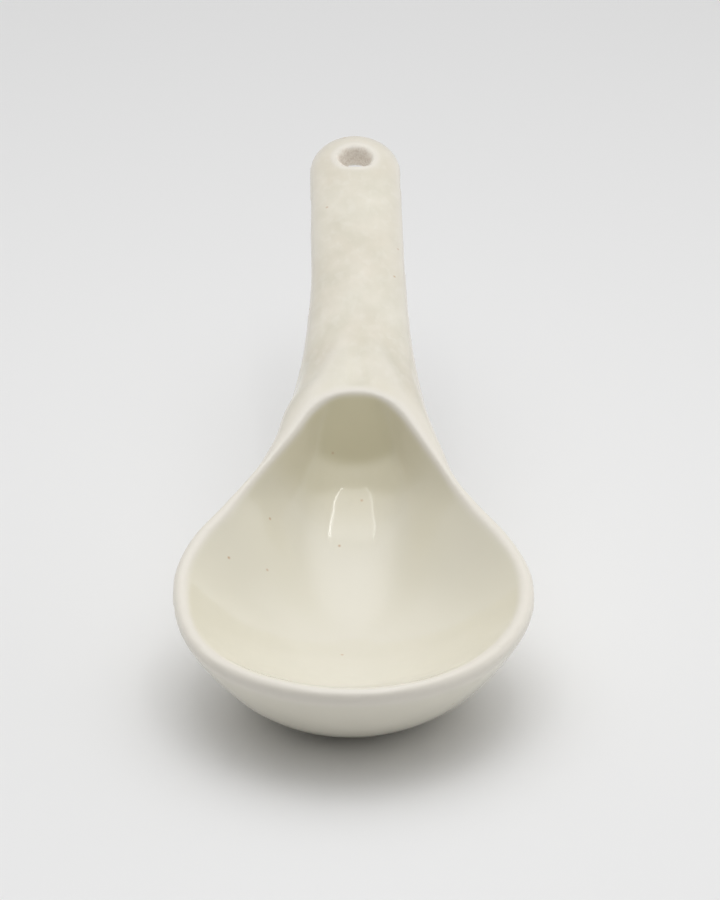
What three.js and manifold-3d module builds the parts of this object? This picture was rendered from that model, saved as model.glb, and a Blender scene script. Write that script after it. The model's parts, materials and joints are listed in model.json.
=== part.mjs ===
// A glazed stoneware soup spoon, hand-built from two clay members: a round bowl drawn out into a throat
// and a short neck, and a handle, grooved underneath, luted to the neck with slip. It has no moving part.
// Millimetres. +Z is up, +Y runs from the bowl to the handle, and the origin is where the bowl's axis
// meets the table.
import * as THREE from "three";
import { mergeVertices } from "three/addons/utils/BufferGeometryUtils.js";
import Module from "manifold-3d";

// Driving dimensions of the bowl
const BOWL_RADIUS = 24.2; // half the width of the rim, outside
const BOWL_FRONT = 26.6; // from the bowl's axis to the outside of the rim's front
const THROAT_RADIUS = 9.25; // outside of the small arc that closes the rim at the handle
const THROAT_SETBACK = 25.3; // from the bowl's axis to the centre of that arc
const FLANK_WAIST = 0.8; // how far the rim is drawn in between the bowl and that arc
const RIM_FRONT_HEIGHT = 15; // top of the lip at the front
const RIM_BACK_HEIGHT = 29.9; // top of the lip at the arch, where the handle begins
const RIM_SWEEP = 2.3; // power of the rim's climb: higher keeps it level for longer
const LIP_THICKNESS = 2.4;
const ARCH_THICKNESS = 1.4; // the lip sharpens to a ridge at the arch
const ARCH_FOCUS = 2; // how closely that ridge keeps to the back: higher is closer
const FLOOR_THICKNESS = 7.4; // clay under the middle of the bowl
const THROAT_RISE = 14.2; // climb of the floor from the middle of the bowl to the arch
const THROAT_CURVE = 1.9; // power of that climb
const FOOT_RADIUS = 7.5; // half the width of the flat foot
const FOOT_FRONT = 7.2; // from the bowl's axis to the foot's front edge
const FOOT_BACK_RADIUS = 5.5; // small arc at the back of the foot
const FOOT_SETBACK = 18.5; // from the bowl's axis to the centre of that arc
const OUTSIDE_CURVE = 2.15; // power of the outside wall's climb from the foot to the lip
const INSIDE_CURVE = 2.2; // power of the inside wall's climb, at the front and sides
const THROAT_SIDE_CURVE = 3.4; // the same at the sides of the throat, where the wall turns up later
const THROAT_FOCUS = 4; // how closely that later turn keeps to the back: higher is closer
const BACK_WALL_CURVE = 36; // power of the steep rise behind the throat
const BACK_WALL_FOCUS = 10; // how closely that rise keeps to the back: higher is closer
const BACK_WALL_LEAN = THREE.MathUtils.degToRad(70); // slope of the wall under the arch
const BACK_WALL_FOOT = 29.8; // from the bowl's axis to the crease at that wall's foot
const BACK_WALL_DISH = 0.052; // how strongly the wall is dished across, per millimetre
const APRON_LEAN = THREE.MathUtils.degToRad(48); // slope of the apron between that crease and the throat

// Driving dimensions of the neck and handle
const HANDLE_REACH = 101.8; // from the bowl's axis to the tip
const HANDLE_RISE = THREE.MathUtils.degToRad(10.5); // slope of the top of the handle
const HANDLE_TOP = 29.1; // height of the line of the handle's top, carried on to the arch
const NECK_LENGTH = 17.2; // from the arch to where the flare has become the handle
const HANDLE_WIDTH = 14;
const NECK_WIDTH = 15.6; // where the flare ends
const TAPER_LENGTH = 20; // over which the neck's width becomes the handle's
const TAPER_CURVE = 2; // power of that narrowing
const TIP_THICKNESS = 4.6;
const NECK_THICKNESS = 7.5; // where the flare ends
const THINNING_CURVE = 1.5; // power by which the thickness falls towards the tip
const TIP_LENGTH = 9; // length of the rounded end, seen from above
const TIP_ROUND_CURVE = 2.2; // 2 makes that end half an ellipse, more is blunter
const TIP_EDGE_CURVE = 4; // 2 thins the whole rounded end like an ellipse, more keeps it thick to the edge
const WAIST_SHARE = 0.42; // height of the widest line, as a share of the handle's thickness
const GROOVE_DEPTH = 2.2; // hollow along the underside, which keeps the handle light
const SECTION_SQUARENESS = 1.85; // 2 is an ellipse, less is more pointed
const HOLE_DIAMETER = 6; // hanging hole
const HOLE_SETBACK = 7.3; // from the tip to the middle of the hole

// Driving dimensions of the flare and the luted joint
const FLARE_SPREAD = THREE.MathUtils.degToRad(45); // half the turn round the bowl that its root covers
const FLARE_FOOT = 0.45; // where the root ends on the outside wall: 0 at the foot, 1 at the top of the lip
const FLARE_WAIST = 0.86; // where it is widest
const FLARE_SQUARENESS = 1.7; // 2 is an ellipse, less is more pointed
const FLARE_LIFT = THREE.MathUtils.degToRad(16); // angle at which the flare leaves the bowl's surface
const ROOT_DEPTH = 0.45; // how far the flare's root is worked into the bowl's wall
const RIDGE_DEPTH = 0.05; // the same behind the arch, where the lip stays a ridge
const JOINT_SETBACK = 10; // from the arch to the luted joint
const SLIP_THICKNESS = 0.8;
const SLIP_WIDTH = 11;
const SLIP_HEIGHT = 3.6;
const SLIP_CLEARANCE = 0.3; // between the pad's edge and its recess

// Fineness of the faceting
const TURN_STEPS = 72;
const WALL_STEPS = 9;
const LIP_STEPS = 6;
const FLOOR_STEPS = 18;
const SECTION_STEPS = 40;
const FLARE_STEPS = 10;
const HANDLE_STEPS = 12;
const TIP_STEPS = 6;
const HOLE_STEPS = 32;
const ROOT_STEPS = 3;
const SLIP_STEPS = 32;

const STEP = 0.01; // small step that finds a surface's slope
const NEAR_ENOUGH = 1e-6; // share of a flare line within which its crossing of the joint is found
const HALF_TURN = Math.PI;
const BACK = Math.PI / 2; // direction of the handle, from +X
const archPlace = THROAT_SETBACK + THROAT_RADIUS - ARCH_THICKNESS / 2; // top of the lip at the back
const frontPlace = BOWL_FRONT - LIP_THICKNESS / 2; // top of the lip at the front, from the bowl's axis
const neckEnd = archPlace + NECK_LENGTH;
const jointPlace = archPlace + JOINT_SETBACK;
const tipStart = HANDLE_REACH - TIP_LENGTH;
const cutterSize = 2 * (HANDLE_REACH + BOWL_FRONT); // longer than the spoon, so a cutter passes right through

const wasm = await Module();
wasm.setup();

// A closed solid from rings of points that run from one end point to the other. Seen along the run, the
// points of a ring go clockwise.
function loft(startPoint, rings, endPoint) {
  const count = rings[0].length;
  const positions = [startPoint, ...rings.flat(), endPoint].flatMap((p) => p.toArray());
  const last = rings.length * count + 1;
  const at = (ring, step) => 1 + ring * count + (step % count);
  const faces = [];
  for (let step = 0; step < count; step++) {
    faces.push(0, at(0, step + 1), at(0, step));
    for (let ring = 0; ring + 1 < rings.length; ring++) {
      const [a, b] = [at(ring, step), at(ring, step + 1)];
      const [c, d] = [at(ring + 1, step + 1), at(ring + 1, step)];
      faces.push(a, b, c, a, c, d);
    }
    faces.push(last, at(rings.length - 1, step), at(rings.length - 1, step + 1));
  }
  const geometry = new THREE.BufferGeometry();
  geometry.setAttribute("position", new THREE.Float32BufferAttribute(positions, 3));
  geometry.setIndex(faces);
  return geometry;
}

// A geometry as a solid that can be joined and cut.
function solidOf(geometry) {
  const bare = geometry.clone();
  bare.deleteAttribute("normal");
  bare.deleteAttribute("uv");
  const merged = mergeVertices(bare);
  const vertProperties = merged.attributes.position.array;
  const triVerts = new Uint32Array(merged.index.array);
  return new wasm.Manifold(new wasm.Mesh({ numProp: 3, vertProperties, triVerts }));
}

// A solid's surface as a geometry, with flat facets.
function geometryOf(solid) {
  const mesh = solid.getMesh();
  const indexed = new THREE.BufferGeometry();
  indexed.setAttribute("position", new THREE.BufferAttribute(mesh.vertProperties, 3));
  indexed.setIndex(new THREE.BufferAttribute(mesh.triVerts, 1));
  const faceted = indexed.toNonIndexed();
  faceted.computeVertexNormals();
  return faceted;
}

// Distance from the bowl's axis to a teardrop outline in a direction: half an ellipse in front, and behind
// it a large arc on the axis and a small arc set back along +Y, joined by their common tangents. The back
// half may be drawn in a little, most of all halfway to the small arc.
function teardrop(direction, radius, front, backRadius, setback, waist = 0) {
  const lean = Math.atan2(Math.sin(direction), Math.abs(Math.cos(direction)));
  const tangent = Math.asin((radius - backRadius) / setback);
  const touch = Math.atan2(setback + backRadius * Math.sin(tangent), backRadius * Math.cos(tangent));
  if (lean <= 0) return 1 / Math.hypot(Math.cos(lean) / radius, Math.sin(lean) / front);
  const drawnIn = waist * Math.sin(HALF_TURN * Math.min(lean / touch, 1)) ** 2;
  if (lean <= tangent) return radius - drawnIn;
  if (lean <= touch) return radius / Math.cos(lean - tangent) - drawnIn;
  return setback * Math.sin(lean) + Math.sqrt(backRadius ** 2 - (setback * Math.cos(lean)) ** 2);
}

// A point at a distance from the bowl's axis, in a direction, at a height.
function around(direction, distance, height) {
  return new THREE.Vector3(distance * Math.cos(direction), distance * Math.sin(direction), height);
}

// Outline of the flat foot, as the distance from the bowl's axis in a direction.
function footReach(direction) {
  return teardrop(direction, FOOT_RADIUS, FOOT_FRONT, FOOT_BACK_RADIUS, FOOT_SETBACK);
}

// Radius of the lip's round in a direction.
function lipRound(direction) {
  const backward = Math.max(Math.sin(direction), 0) ** ARCH_FOCUS;
  return (LIP_THICKNESS + (ARCH_THICKNESS - LIP_THICKNESS) * backward) / 2;
}

// Middle of the lip's round in a direction, as distance and height.
function lipMiddle(direction) {
  const round = lipRound(direction);
  const edge = teardrop(direction, BOWL_RADIUS, BOWL_FRONT, THROAT_RADIUS, THROAT_SETBACK, FLANK_WAIST);
  const distance = edge - round;
  const along = Math.max(distance * Math.sin(direction) + frontPlace, 0) / (archPlace + frontPlace);
  const top = RIM_FRONT_HEIGHT + (RIM_BACK_HEIGHT - RIM_FRONT_HEIGHT) * along ** RIM_SWEEP;
  return { distance, height: top - round };
}

// A point on the lip's round, as distance and height: turn 0 faces out, a quarter turn is its top and a
// half turn faces in.
function lipEdge(direction, turn) {
  const { distance, height } = lipMiddle(direction);
  const round = lipRound(direction);
  return { distance: distance + round * Math.cos(turn), height: height + round * Math.sin(turn) };
}

// The same as a point in space.
function lipPoint(direction, turn) {
  const { distance, height } = lipEdge(direction, turn);
  return around(direction, distance, height);
}

// Turn at which the outside wall runs smoothly into the lip.
function lipStart(direction) {
  const { distance, height } = lipMiddle(direction);
  const spread = distance + lipRound(direction) - footReach(direction);
  return Math.atan2(OUTSIDE_CURVE * height, spread) - HALF_TURN / 2;
}

// A point on the outside wall: share 0 is the foot's edge and share 1 the lower end of the lip's round.
function outsidePoint(direction, share) {
  const foot = footReach(direction);
  const { distance, height } = lipEdge(direction, lipStart(direction));
  return around(direction, foot + (distance - foot) * share, height * share ** OUTSIDE_CURVE);
}

// Height that the bowl's floor has gained at a place along the spoon.
function floorClimb(y) {
  return THROAT_RISE * (Math.max(y, 0) / (archPlace - ARCH_THICKNESS / 2)) ** THROAT_CURVE;
}

// How late the inside turns up into a side wall, and how much of the rise is the steep one at the back.
function insideCurves(direction) {
  const backward = Math.max(Math.sin(direction), 0);
  const curve = INSIDE_CURVE + (THROAT_SIDE_CURVE - INSIDE_CURVE) * backward ** THROAT_FOCUS;
  return { curve, steep: backward ** BACK_WALL_FOCUS };
}

// Turn at which the lip runs smoothly into the inside.
function lipEnd(direction) {
  const { distance, height } = lipMiddle(direction);
  const { curve, steep } = insideCurves(direction);
  const climb = floorClimb(distance * Math.sin(direction));
  const bend = (1 - steep) * curve + steep * BACK_WALL_CURVE;
  const slope = THROAT_CURVE * climb + (height - FLOOR_THICKNESS - climb) * bend;
  return HALF_TURN / 2 + Math.atan2(slope, distance);
}

// Height of the leaning wall under the arch, dished across, and of the gentler apron below it.
function backWall(x, y) {
  const { distance, height } = lipEdge(BACK, lipEnd(BACK));
  const overWall = Math.max(distance - Math.max(y, BACK_WALL_FOOT), 0) * Math.tan(BACK_WALL_LEAN);
  const overApron = Math.max(BACK_WALL_FOOT - y, 0) * Math.tan(APRON_LEAN);
  return height - overWall - overApron + BACK_WALL_DISH * x ** 2;
}

// A point on the inside: share 0 is the middle of the floor and share 1 the inner end of the lip's round.
function insidePoint(direction, share) {
  const { distance, height } = lipEdge(direction, lipEnd(direction));
  const { curve, steep } = insideCurves(direction);
  const wall = height - FLOOR_THICKNESS - floorClimb(distance * Math.sin(direction));
  const bend = (1 - steep) * share ** curve + steep * share ** BACK_WALL_CURVE;
  const [x, y] = [share * distance * Math.cos(direction), share * distance * Math.sin(direction)];
  const scooped = FLOOR_THICKNESS + floorClimb(y) + wall * bend;
  return around(direction, share * distance, Math.max(scooped, backWall(x, y)));
}

// The bowl as thrown, without its neck: flat foot, outside wall, round lip and hollow inside.
function bowlShell() {
  const turns = Array.from({ length: TURN_STEPS }, (_, i) => (i / TURN_STEPS) * 2 * HALF_TURN);
  const rings = [];
  for (let i = 0; i < WALL_STEPS; i++) {
    rings.push(turns.map((direction) => outsidePoint(direction, i / WALL_STEPS)));
  }
  for (let i = 0; i <= LIP_STEPS; i++) {
    const turnAt = (start, end) => start + ((end - start) * i) / LIP_STEPS;
    rings.push(turns.map((at) => lipPoint(at, turnAt(lipStart(at), lipEnd(at)))));
  }
  for (let i = FLOOR_STEPS - 1; i > 0; i--) {
    const share = Math.sin(((i / FLOOR_STEPS) * HALF_TURN) / 2);
    rings.push(turns.map((direction) => insidePoint(direction, share)));
  }
  return loft(new THREE.Vector3(0, 0, 0), rings, new THREE.Vector3(0, 0, FLOOR_THICKNESS));
}

// Cosine or sine of a turn, reshaped so that the outline it draws is a superellipse.
function reshaped(value, squareness) {
  return Math.sign(value) * Math.abs(value) ** (2 / squareness);
}

// A point on the handle's section at a place along the spoon. The turn runs from the right-hand edge
// down, under, up the left and over the top. Past tipStart the section closes to a rounded end.
function handlePoint(turn, y) {
  const ending = THREE.MathUtils.clamp((y - tipStart) / TIP_LENGTH, 0, 1);
  const toTip = (HANDLE_REACH - y) / (HANDLE_REACH - neckEnd);
  const toTaperEnd = Math.max((neckEnd + TAPER_LENGTH - y) / TAPER_LENGTH, 0);
  const top = HANDLE_TOP + Math.tan(HANDLE_RISE) * (y - archPlace);
  const thick = TIP_THICKNESS + (NECK_THICKNESS - TIP_THICKNESS) * toTip ** THINNING_CURVE;
  const wide = HANDLE_WIDTH + (NECK_WIDTH - HANDLE_WIDTH) * toTaperEnd ** TAPER_CURVE;
  const waist = top - thick * (1 - WAIST_SHARE);
  const across = reshaped(Math.cos(turn), SECTION_SQUARENESS);
  const up = -reshaped(Math.sin(turn), SECTION_SQUARENESS);
  const reach = (up > 0 ? 1 - WAIST_SHARE : WAIST_SHARE) * thick * Math.sqrt(1 - ending ** TIP_EDGE_CURVE);
  const hollow = up > 0 ? 0 : GROOVE_DEPTH * (1 - across ** 2) ** 2 * (1 - ending);
  const x = (wide / 2) * across * (1 - ending ** TIP_ROUND_CURVE) ** (1 / TIP_ROUND_CURVE);
  return new THREE.Vector3(x, y, waist + reach * up + hollow);
}

// A point on the outside of the bowl, from the foot's edge at 0 over the wall to the top of the lip at 1.
function skinPoint(direction, share) {
  const wallShare = 1 - LIP_THICKNESS / RIM_BACK_HEIGHT;
  if (share <= wallShare) return outsidePoint(direction, share / wallShare);
  const start = lipStart(direction);
  const over = (share - wallShare) / (1 - wallShare);
  return lipPoint(direction, start + over * (HALF_TURN / 2 - start));
}

// A point of the flare's root, on the bowl's back, sunk into the wall. Spread 1 is the root's edge.
function rootPoint(turn, spread) {
  const direction = BACK - FLARE_SPREAD * spread * reshaped(Math.cos(turn), FLARE_SQUARENESS);
  const up = -reshaped(Math.sin(turn), FLARE_SQUARENESS);
  const share = FLARE_WAIST + (up > 0 ? 1 - FLARE_WAIST : FLARE_WAIST - FLARE_FOOT) * spread * up;
  const point = skinPoint(direction, share);
  const sideways = skinPoint(direction + STEP, share).sub(skinPoint(direction - STEP, share));
  const upward = skinPoint(direction, Math.min(share + STEP, 1)).sub(skinPoint(direction, share - STEP));
  const outward = sideways.cross(upward).normalize();
  const depth = ROOT_DEPTH + (RIDGE_DEPTH - ROOT_DEPTH) * Math.max(up * spread, 0);
  return { point: point.addScaledVector(outward, -depth), outward };
}

// A point on the flare, which leaves the bowl's back almost flush with it and runs smoothly into the
// handle: share 0 is the root's edge and share 1 the start of the handle.
function flarePoint(turn, share) {
  const { point: start, outward } = rootPoint(turn, 1);
  const inward = rootPoint(turn, 1 - STEP).point.sub(start).normalize();
  const leave = inward.multiplyScalar(Math.cos(FLARE_LIFT)).addScaledVector(outward, Math.sin(FLARE_LIFT));
  const end = handlePoint(turn, neckEnd);
  const arrive = handlePoint(turn, neckEnd + STEP).sub(end).normalize();
  const pull = start.distanceTo(end);
  const [s, s2, s3] = [share, share ** 2, share ** 3];
  return new THREE.Vector3()
    .addScaledVector(start, 2 * s3 - 3 * s2 + 1)
    .addScaledVector(leave, (s3 - 2 * s2 + s) * pull)
    .addScaledVector(end, 3 * s2 - 2 * s3)
    .addScaledVector(arrive, (s3 - s2) * pull);
}

const sectionTurns = Array.from({ length: SECTION_STEPS }, (_, i) => (i / SECTION_STEPS) * 2 * HALF_TURN);

// Flare and handle in one length, before they are parted at the joint.
function handleBlank() {
  const rings = [];
  for (let i = 1; i < ROOT_STEPS; i++) {
    rings.push(sectionTurns.map((turn) => rootPoint(turn, i / ROOT_STEPS).point));
  }
  for (let i = 0; i < FLARE_STEPS; i++) {
    rings.push(sectionTurns.map((turn) => flarePoint(turn, i / FLARE_STEPS)));
  }
  for (let i = 0; i < HANDLE_STEPS; i++) {
    const y = neckEnd + ((tipStart - neckEnd) * i) / HANDLE_STEPS;
    rings.push(sectionTurns.map((turn) => handlePoint(turn, y)));
  }
  for (let i = 0; i < TIP_STEPS; i++) {
    const y = tipStart + TIP_LENGTH * Math.sin(((i / TIP_STEPS) * HALF_TURN) / 2);
    rings.push(sectionTurns.map((turn) => handlePoint(turn, y)));
  }
  return loft(rootPoint(0, 0).point, rings, handlePoint(0, HANDLE_REACH));
}

// Height at which a line of the flare crosses the joint.
function heightAtJoint(turn) {
  let [low, high] = [0, 1];
  while (high - low > NEAR_ENOUGH) {
    const half = (low + high) / 2;
    if (flarePoint(turn, half).y < jointPlace) low = half;
    else high = half;
  }
  return flarePoint(turn, low).z;
}

// Middle of the pad of slip, which lies against the joint's face in the middle of the neck.
function slipMiddle() {
  const [underside, top] = [heightAtJoint(HALF_TURN / 2), heightAtJoint(-HALF_TURN / 2)];
  return new THREE.Vector3(0, jointPlace + SLIP_THICKNESS / 2, (underside + top) / 2);
}

// An oval plate as thick as the slip, grown by a margin round its edge and through the joint's face.
function slipPlate(margin) {
  const [width, height] = [SLIP_WIDTH + 2 * margin, SLIP_HEIGHT + 2 * margin];
  const plate = new THREE.CylinderGeometry(width / 2, width / 2, SLIP_THICKNESS + margin, SLIP_STEPS);
  return plate.scale(1, 1, height / width).translate(0, -margin / 2, 0);
}

// A block that holds all of the spoon in front of the joint.
function bowlSide() {
  const block = new THREE.BoxGeometry(cutterSize, cutterSize, cutterSize);
  return block.translate(0, jointPlace - cutterSize / 2, 0);
}

// The hanging hole's drill, straight down through the rounded end.
function holeDrill() {
  const drill = new THREE.CylinderGeometry(HOLE_DIAMETER / 2, HOLE_DIAMETER / 2, cutterSize, HOLE_STEPS);
  return drill.rotateX(HALF_TURN / 2).translate(0, HANDLE_REACH - HOLE_SETBACK, 0);
}

// Cream glaze over fired clay, glossy.
function glaze() {
  return new THREE.MeshStandardMaterial({ color: 0xe6e1d3, roughness: 0.18, metalness: 0 });
}

// Fired clay without glaze, dull.
function bareClay() {
  return new THREE.MeshStandardMaterial({ color: 0xbfb1a2, roughness: 0.85, metalness: 0 });
}

// A named piece of the spoon.
function piece(name, geometry, material) {
  const mesh = new THREE.Mesh(geometry, material);
  mesh.name = name;
  return mesh;
}

const blank = solidOf(handleBlank());
const inFront = solidOf(bowlSide());
const slipPlace = slipMiddle();
const recess = solidOf(slipPlate(SLIP_CLEARANCE).translate(...slipPlace.toArray()));

const bowlSolid = solidOf(bowlShell()).add(blank.intersect(inFront));
const handleSolid = blank.subtract(inFront).subtract(solidOf(holeDrill())).subtract(recess);

const slipJoint = piece("slip_joint", slipPlate(0), bareClay());
slipJoint.position.copy(slipPlace);

const spoon = new THREE.Group();
spoon.add(piece("bowl", geometryOf(bowlSolid), glaze()));
spoon.add(piece("handle", geometryOf(handleSolid), glaze()));
spoon.add(slipJoint);

export default spoon;
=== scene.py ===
"""A hand-built stoneware soup spoon under cream glaze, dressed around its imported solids.

Sizes are millimetres unless a name says otherwise, and a finished piece is brought to metres with its
place in its mesh. +Z is up, +Y runs from the bowl to the handle, and the origin is where the bowl's axis
meets the table.
"""

from __future__ import annotations

import json
import logging
import math
from dataclasses import dataclass
from enum import Enum
from functools import partial
from typing import Any

import bmesh
import bpy
import numpy as np
from mathutils import Matrix, Vector

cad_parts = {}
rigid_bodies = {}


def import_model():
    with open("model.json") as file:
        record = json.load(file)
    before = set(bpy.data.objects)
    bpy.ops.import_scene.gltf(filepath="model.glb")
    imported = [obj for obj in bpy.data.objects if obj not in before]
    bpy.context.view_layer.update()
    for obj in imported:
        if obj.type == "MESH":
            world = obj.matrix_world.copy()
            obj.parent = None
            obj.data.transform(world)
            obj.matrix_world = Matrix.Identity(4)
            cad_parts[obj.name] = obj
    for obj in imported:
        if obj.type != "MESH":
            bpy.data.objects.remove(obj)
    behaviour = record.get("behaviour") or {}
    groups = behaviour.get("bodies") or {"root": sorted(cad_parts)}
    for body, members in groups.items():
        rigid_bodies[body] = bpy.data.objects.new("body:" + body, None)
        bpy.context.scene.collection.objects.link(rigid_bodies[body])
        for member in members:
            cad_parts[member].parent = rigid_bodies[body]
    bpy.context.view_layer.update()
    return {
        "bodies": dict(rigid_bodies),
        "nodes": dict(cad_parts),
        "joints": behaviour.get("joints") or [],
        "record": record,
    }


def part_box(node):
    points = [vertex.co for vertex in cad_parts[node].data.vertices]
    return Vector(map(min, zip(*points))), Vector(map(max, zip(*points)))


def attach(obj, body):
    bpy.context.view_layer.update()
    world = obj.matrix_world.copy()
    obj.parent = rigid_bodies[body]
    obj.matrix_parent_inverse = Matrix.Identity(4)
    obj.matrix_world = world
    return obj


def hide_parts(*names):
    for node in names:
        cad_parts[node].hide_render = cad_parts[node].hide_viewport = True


LOG = logging.getLogger("spoon")
Array = np.ndarray
Pair = tuple[float, float]
Triple = tuple[float, float, float]

MM = 0.001
BODY = "root"
IMAGE_HEIGHT = 900
BACK = math.pi / 2
SLOPE_STEP = 0.01
MIDDLE = 0.5
SOCKET_KINDS = {
    int: "NodeSocketInt",
    float: "NodeSocketFloat",
    bpy.types.Material: "NodeSocketMaterial",
}
RIGHTWARD, BACKWARD, UPWARD = (1.0, 0.0, 0.0), (0.0, 1.0, 0.0), (0.0, 0.0, 1.0)


class Slot(Enum):
    """Material slot of the record for the glaze; nothing in the script uses it."""

    GLAZE = "cream_glaze"


class GlazeMark(Enum):
    """Point attributes that say how the glaze lies on the clay, and where shade is painted on."""

    THIN = "thin_glaze"
    # Glaze that gathers in hollows, together with painted shade on the back wall and the bowl's inner
    # sides
    POOLED = "pooled_glaze"
    BARE = "bare_clay"


class Side(Enum):
    """Which side of a cut is kept."""

    FRONT = "front"
    BEHIND = "behind"


def linear(colour: str) -> tuple[float, float, float, float]:
    """Turns an sRGB hex colour into linear light.

    Args:
        colour: Colour as "#rrggbb".

    Returns:
        Red, green, blue and an alpha of 1.
    """
    parts = [int(colour[i : i + 2], 16) / 255 for i in (1, 3, 5)]
    red, green, blue = [p / 12.92 if p <= 0.04045 else ((p + 0.055) / 1.055) ** 2.4 for p in parts]
    return red, green, blue, 1.0


def per_metre(size: float) -> float:
    """Scale of a pattern whose features are this many millimetres apart."""
    return 1 / (size * MM)


def add_node(
    tree: bpy.types.NodeTree, kind: str, inputs: dict[str | int, Any] | None = None, **settings: Any
) -> bpy.types.Node:
    """Adds a node with its settings and links.

    Args:
        tree: Node tree that gets the node.
        kind: Blender's type name of the node, with its operation, if it has one, after a dot.
        inputs: Values, or nodes and sockets to link from, by the input's name or number.
        **settings: Other properties of the node.

    Returns:
        The new node.
    """
    kind, _, operation = kind.partition(".")
    if operation:
        settings["operation"] = operation
    node = tree.nodes.new(kind)
    for name, value in settings.items():
        setattr(node, name, value)
    for key, value in (inputs or {}).items():
        if isinstance(key, int):
            socket = node.inputs[key]
        else:
            socket = next(s for s in node.inputs if s.name == key and s.enabled)
        if isinstance(value, bpy.types.Node):
            value = next(s for s in value.outputs if s.enabled)
        if isinstance(value, bpy.types.NodeSocket):
            tree.links.new(value, socket)
        else:
            socket.default_value = value
    return node


def blank_tree(owner: Any) -> bpy.types.NodeTree:
    """Gives a material, world or lamp an empty node tree."""
    owner.use_nodes = True
    owner.node_tree.nodes.clear()
    return owner.node_tree


@dataclass(frozen=True)
class Surface:
    """Points and faces of a surface."""

    points: Array
    faces: list[list[int]]


def loft(start: Array, rings: Array, end: Array) -> Surface:
    """Closes rings of points, run from one end point to the other, into a surface.

    Args:
        start: End point before the first ring.
        rings: Points as rows x count x 3, clockwise when seen along the run.
        end: End point after the last ring.

    Returns:
        The closed surface.
    """
    rows, count, _ = rings.shape
    at = 1 + np.arange(rows * count).reshape(rows, count)
    after = np.roll(at, -1, axis=1)
    quads = np.stack([at[:-1], after[:-1], after[1:], at[1:]], axis=-1).reshape(-1, 4)
    first = np.stack([np.zeros(count, int), after[0], at[0]], axis=-1)
    last = np.stack([np.full(count, rows * count + 1), at[-1], after[-1]], axis=-1)
    points = np.vstack([start, rings.reshape(-1, 3), end])
    return Surface(points, quads.tolist() + first.tolist() + last.tolist())


def full_turn(steps: int) -> Array:
    """Angles of a full turn in even steps."""
    return np.arange(steps) / steps * 2 * math.pi


def around(direction: Array, distance: Array, height: Array) -> Array:
    """Points at a distance from the bowl's axis, in a direction, at a height."""
    return np.stack([distance * np.cos(direction), distance * np.sin(direction), height], axis=-1)


def reshaped(value: Array, squareness: float) -> Array:
    """Cosine or sine of a turn, reshaped so that the outline it draws is a superellipse."""
    return np.sign(value) * np.abs(value) ** (2 / squareness)


def unit(vectors: Array) -> Array:
    """Vectors brought to length 1."""
    return vectors / np.linalg.norm(vectors, axis=-1, keepdims=True)


@dataclass(frozen=True)
class Teardrop:
    """Outline round the bowl's axis: half an ellipse in front, and behind it a large arc on the axis and
    a small arc set back along +Y, joined by their common tangents. The back half may be drawn in a
    little, most of all halfway to the small arc."""

    radius: float
    front: float
    back_radius: float
    setback: float
    waist: float = 0.0

    def reach(self, direction: Array) -> Array:
        """Distance from the axis to the outline.

        Args:
            direction: Directions from the axis, from +X.

        Returns:
            Distances.
        """
        lean = np.arctan2(np.sin(direction), np.abs(np.cos(direction)))
        tangent = math.asin((self.radius - self.back_radius) / self.setback)
        rise = self.setback + self.back_radius * math.sin(tangent)
        touch = math.atan2(rise, self.back_radius * math.cos(tangent))
        front = 1 / np.hypot(np.cos(lean) / self.radius, np.sin(lean) / self.front)
        drawn_in = self.waist * np.sin(math.pi * np.clip(lean / touch, 0, 1)) ** 2
        flank = self.radius / np.cos(lean - tangent)
        chord = np.maximum(self.back_radius**2 - (self.setback * np.cos(lean)) ** 2, 0)
        back = self.setback * np.sin(lean) + np.sqrt(chord)
        arc = np.full_like(lean, self.radius)
        plain = np.select([lean <= 0, lean <= tangent, lean <= touch], [front, arc, flank], back)
        return plain - drawn_in


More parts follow.
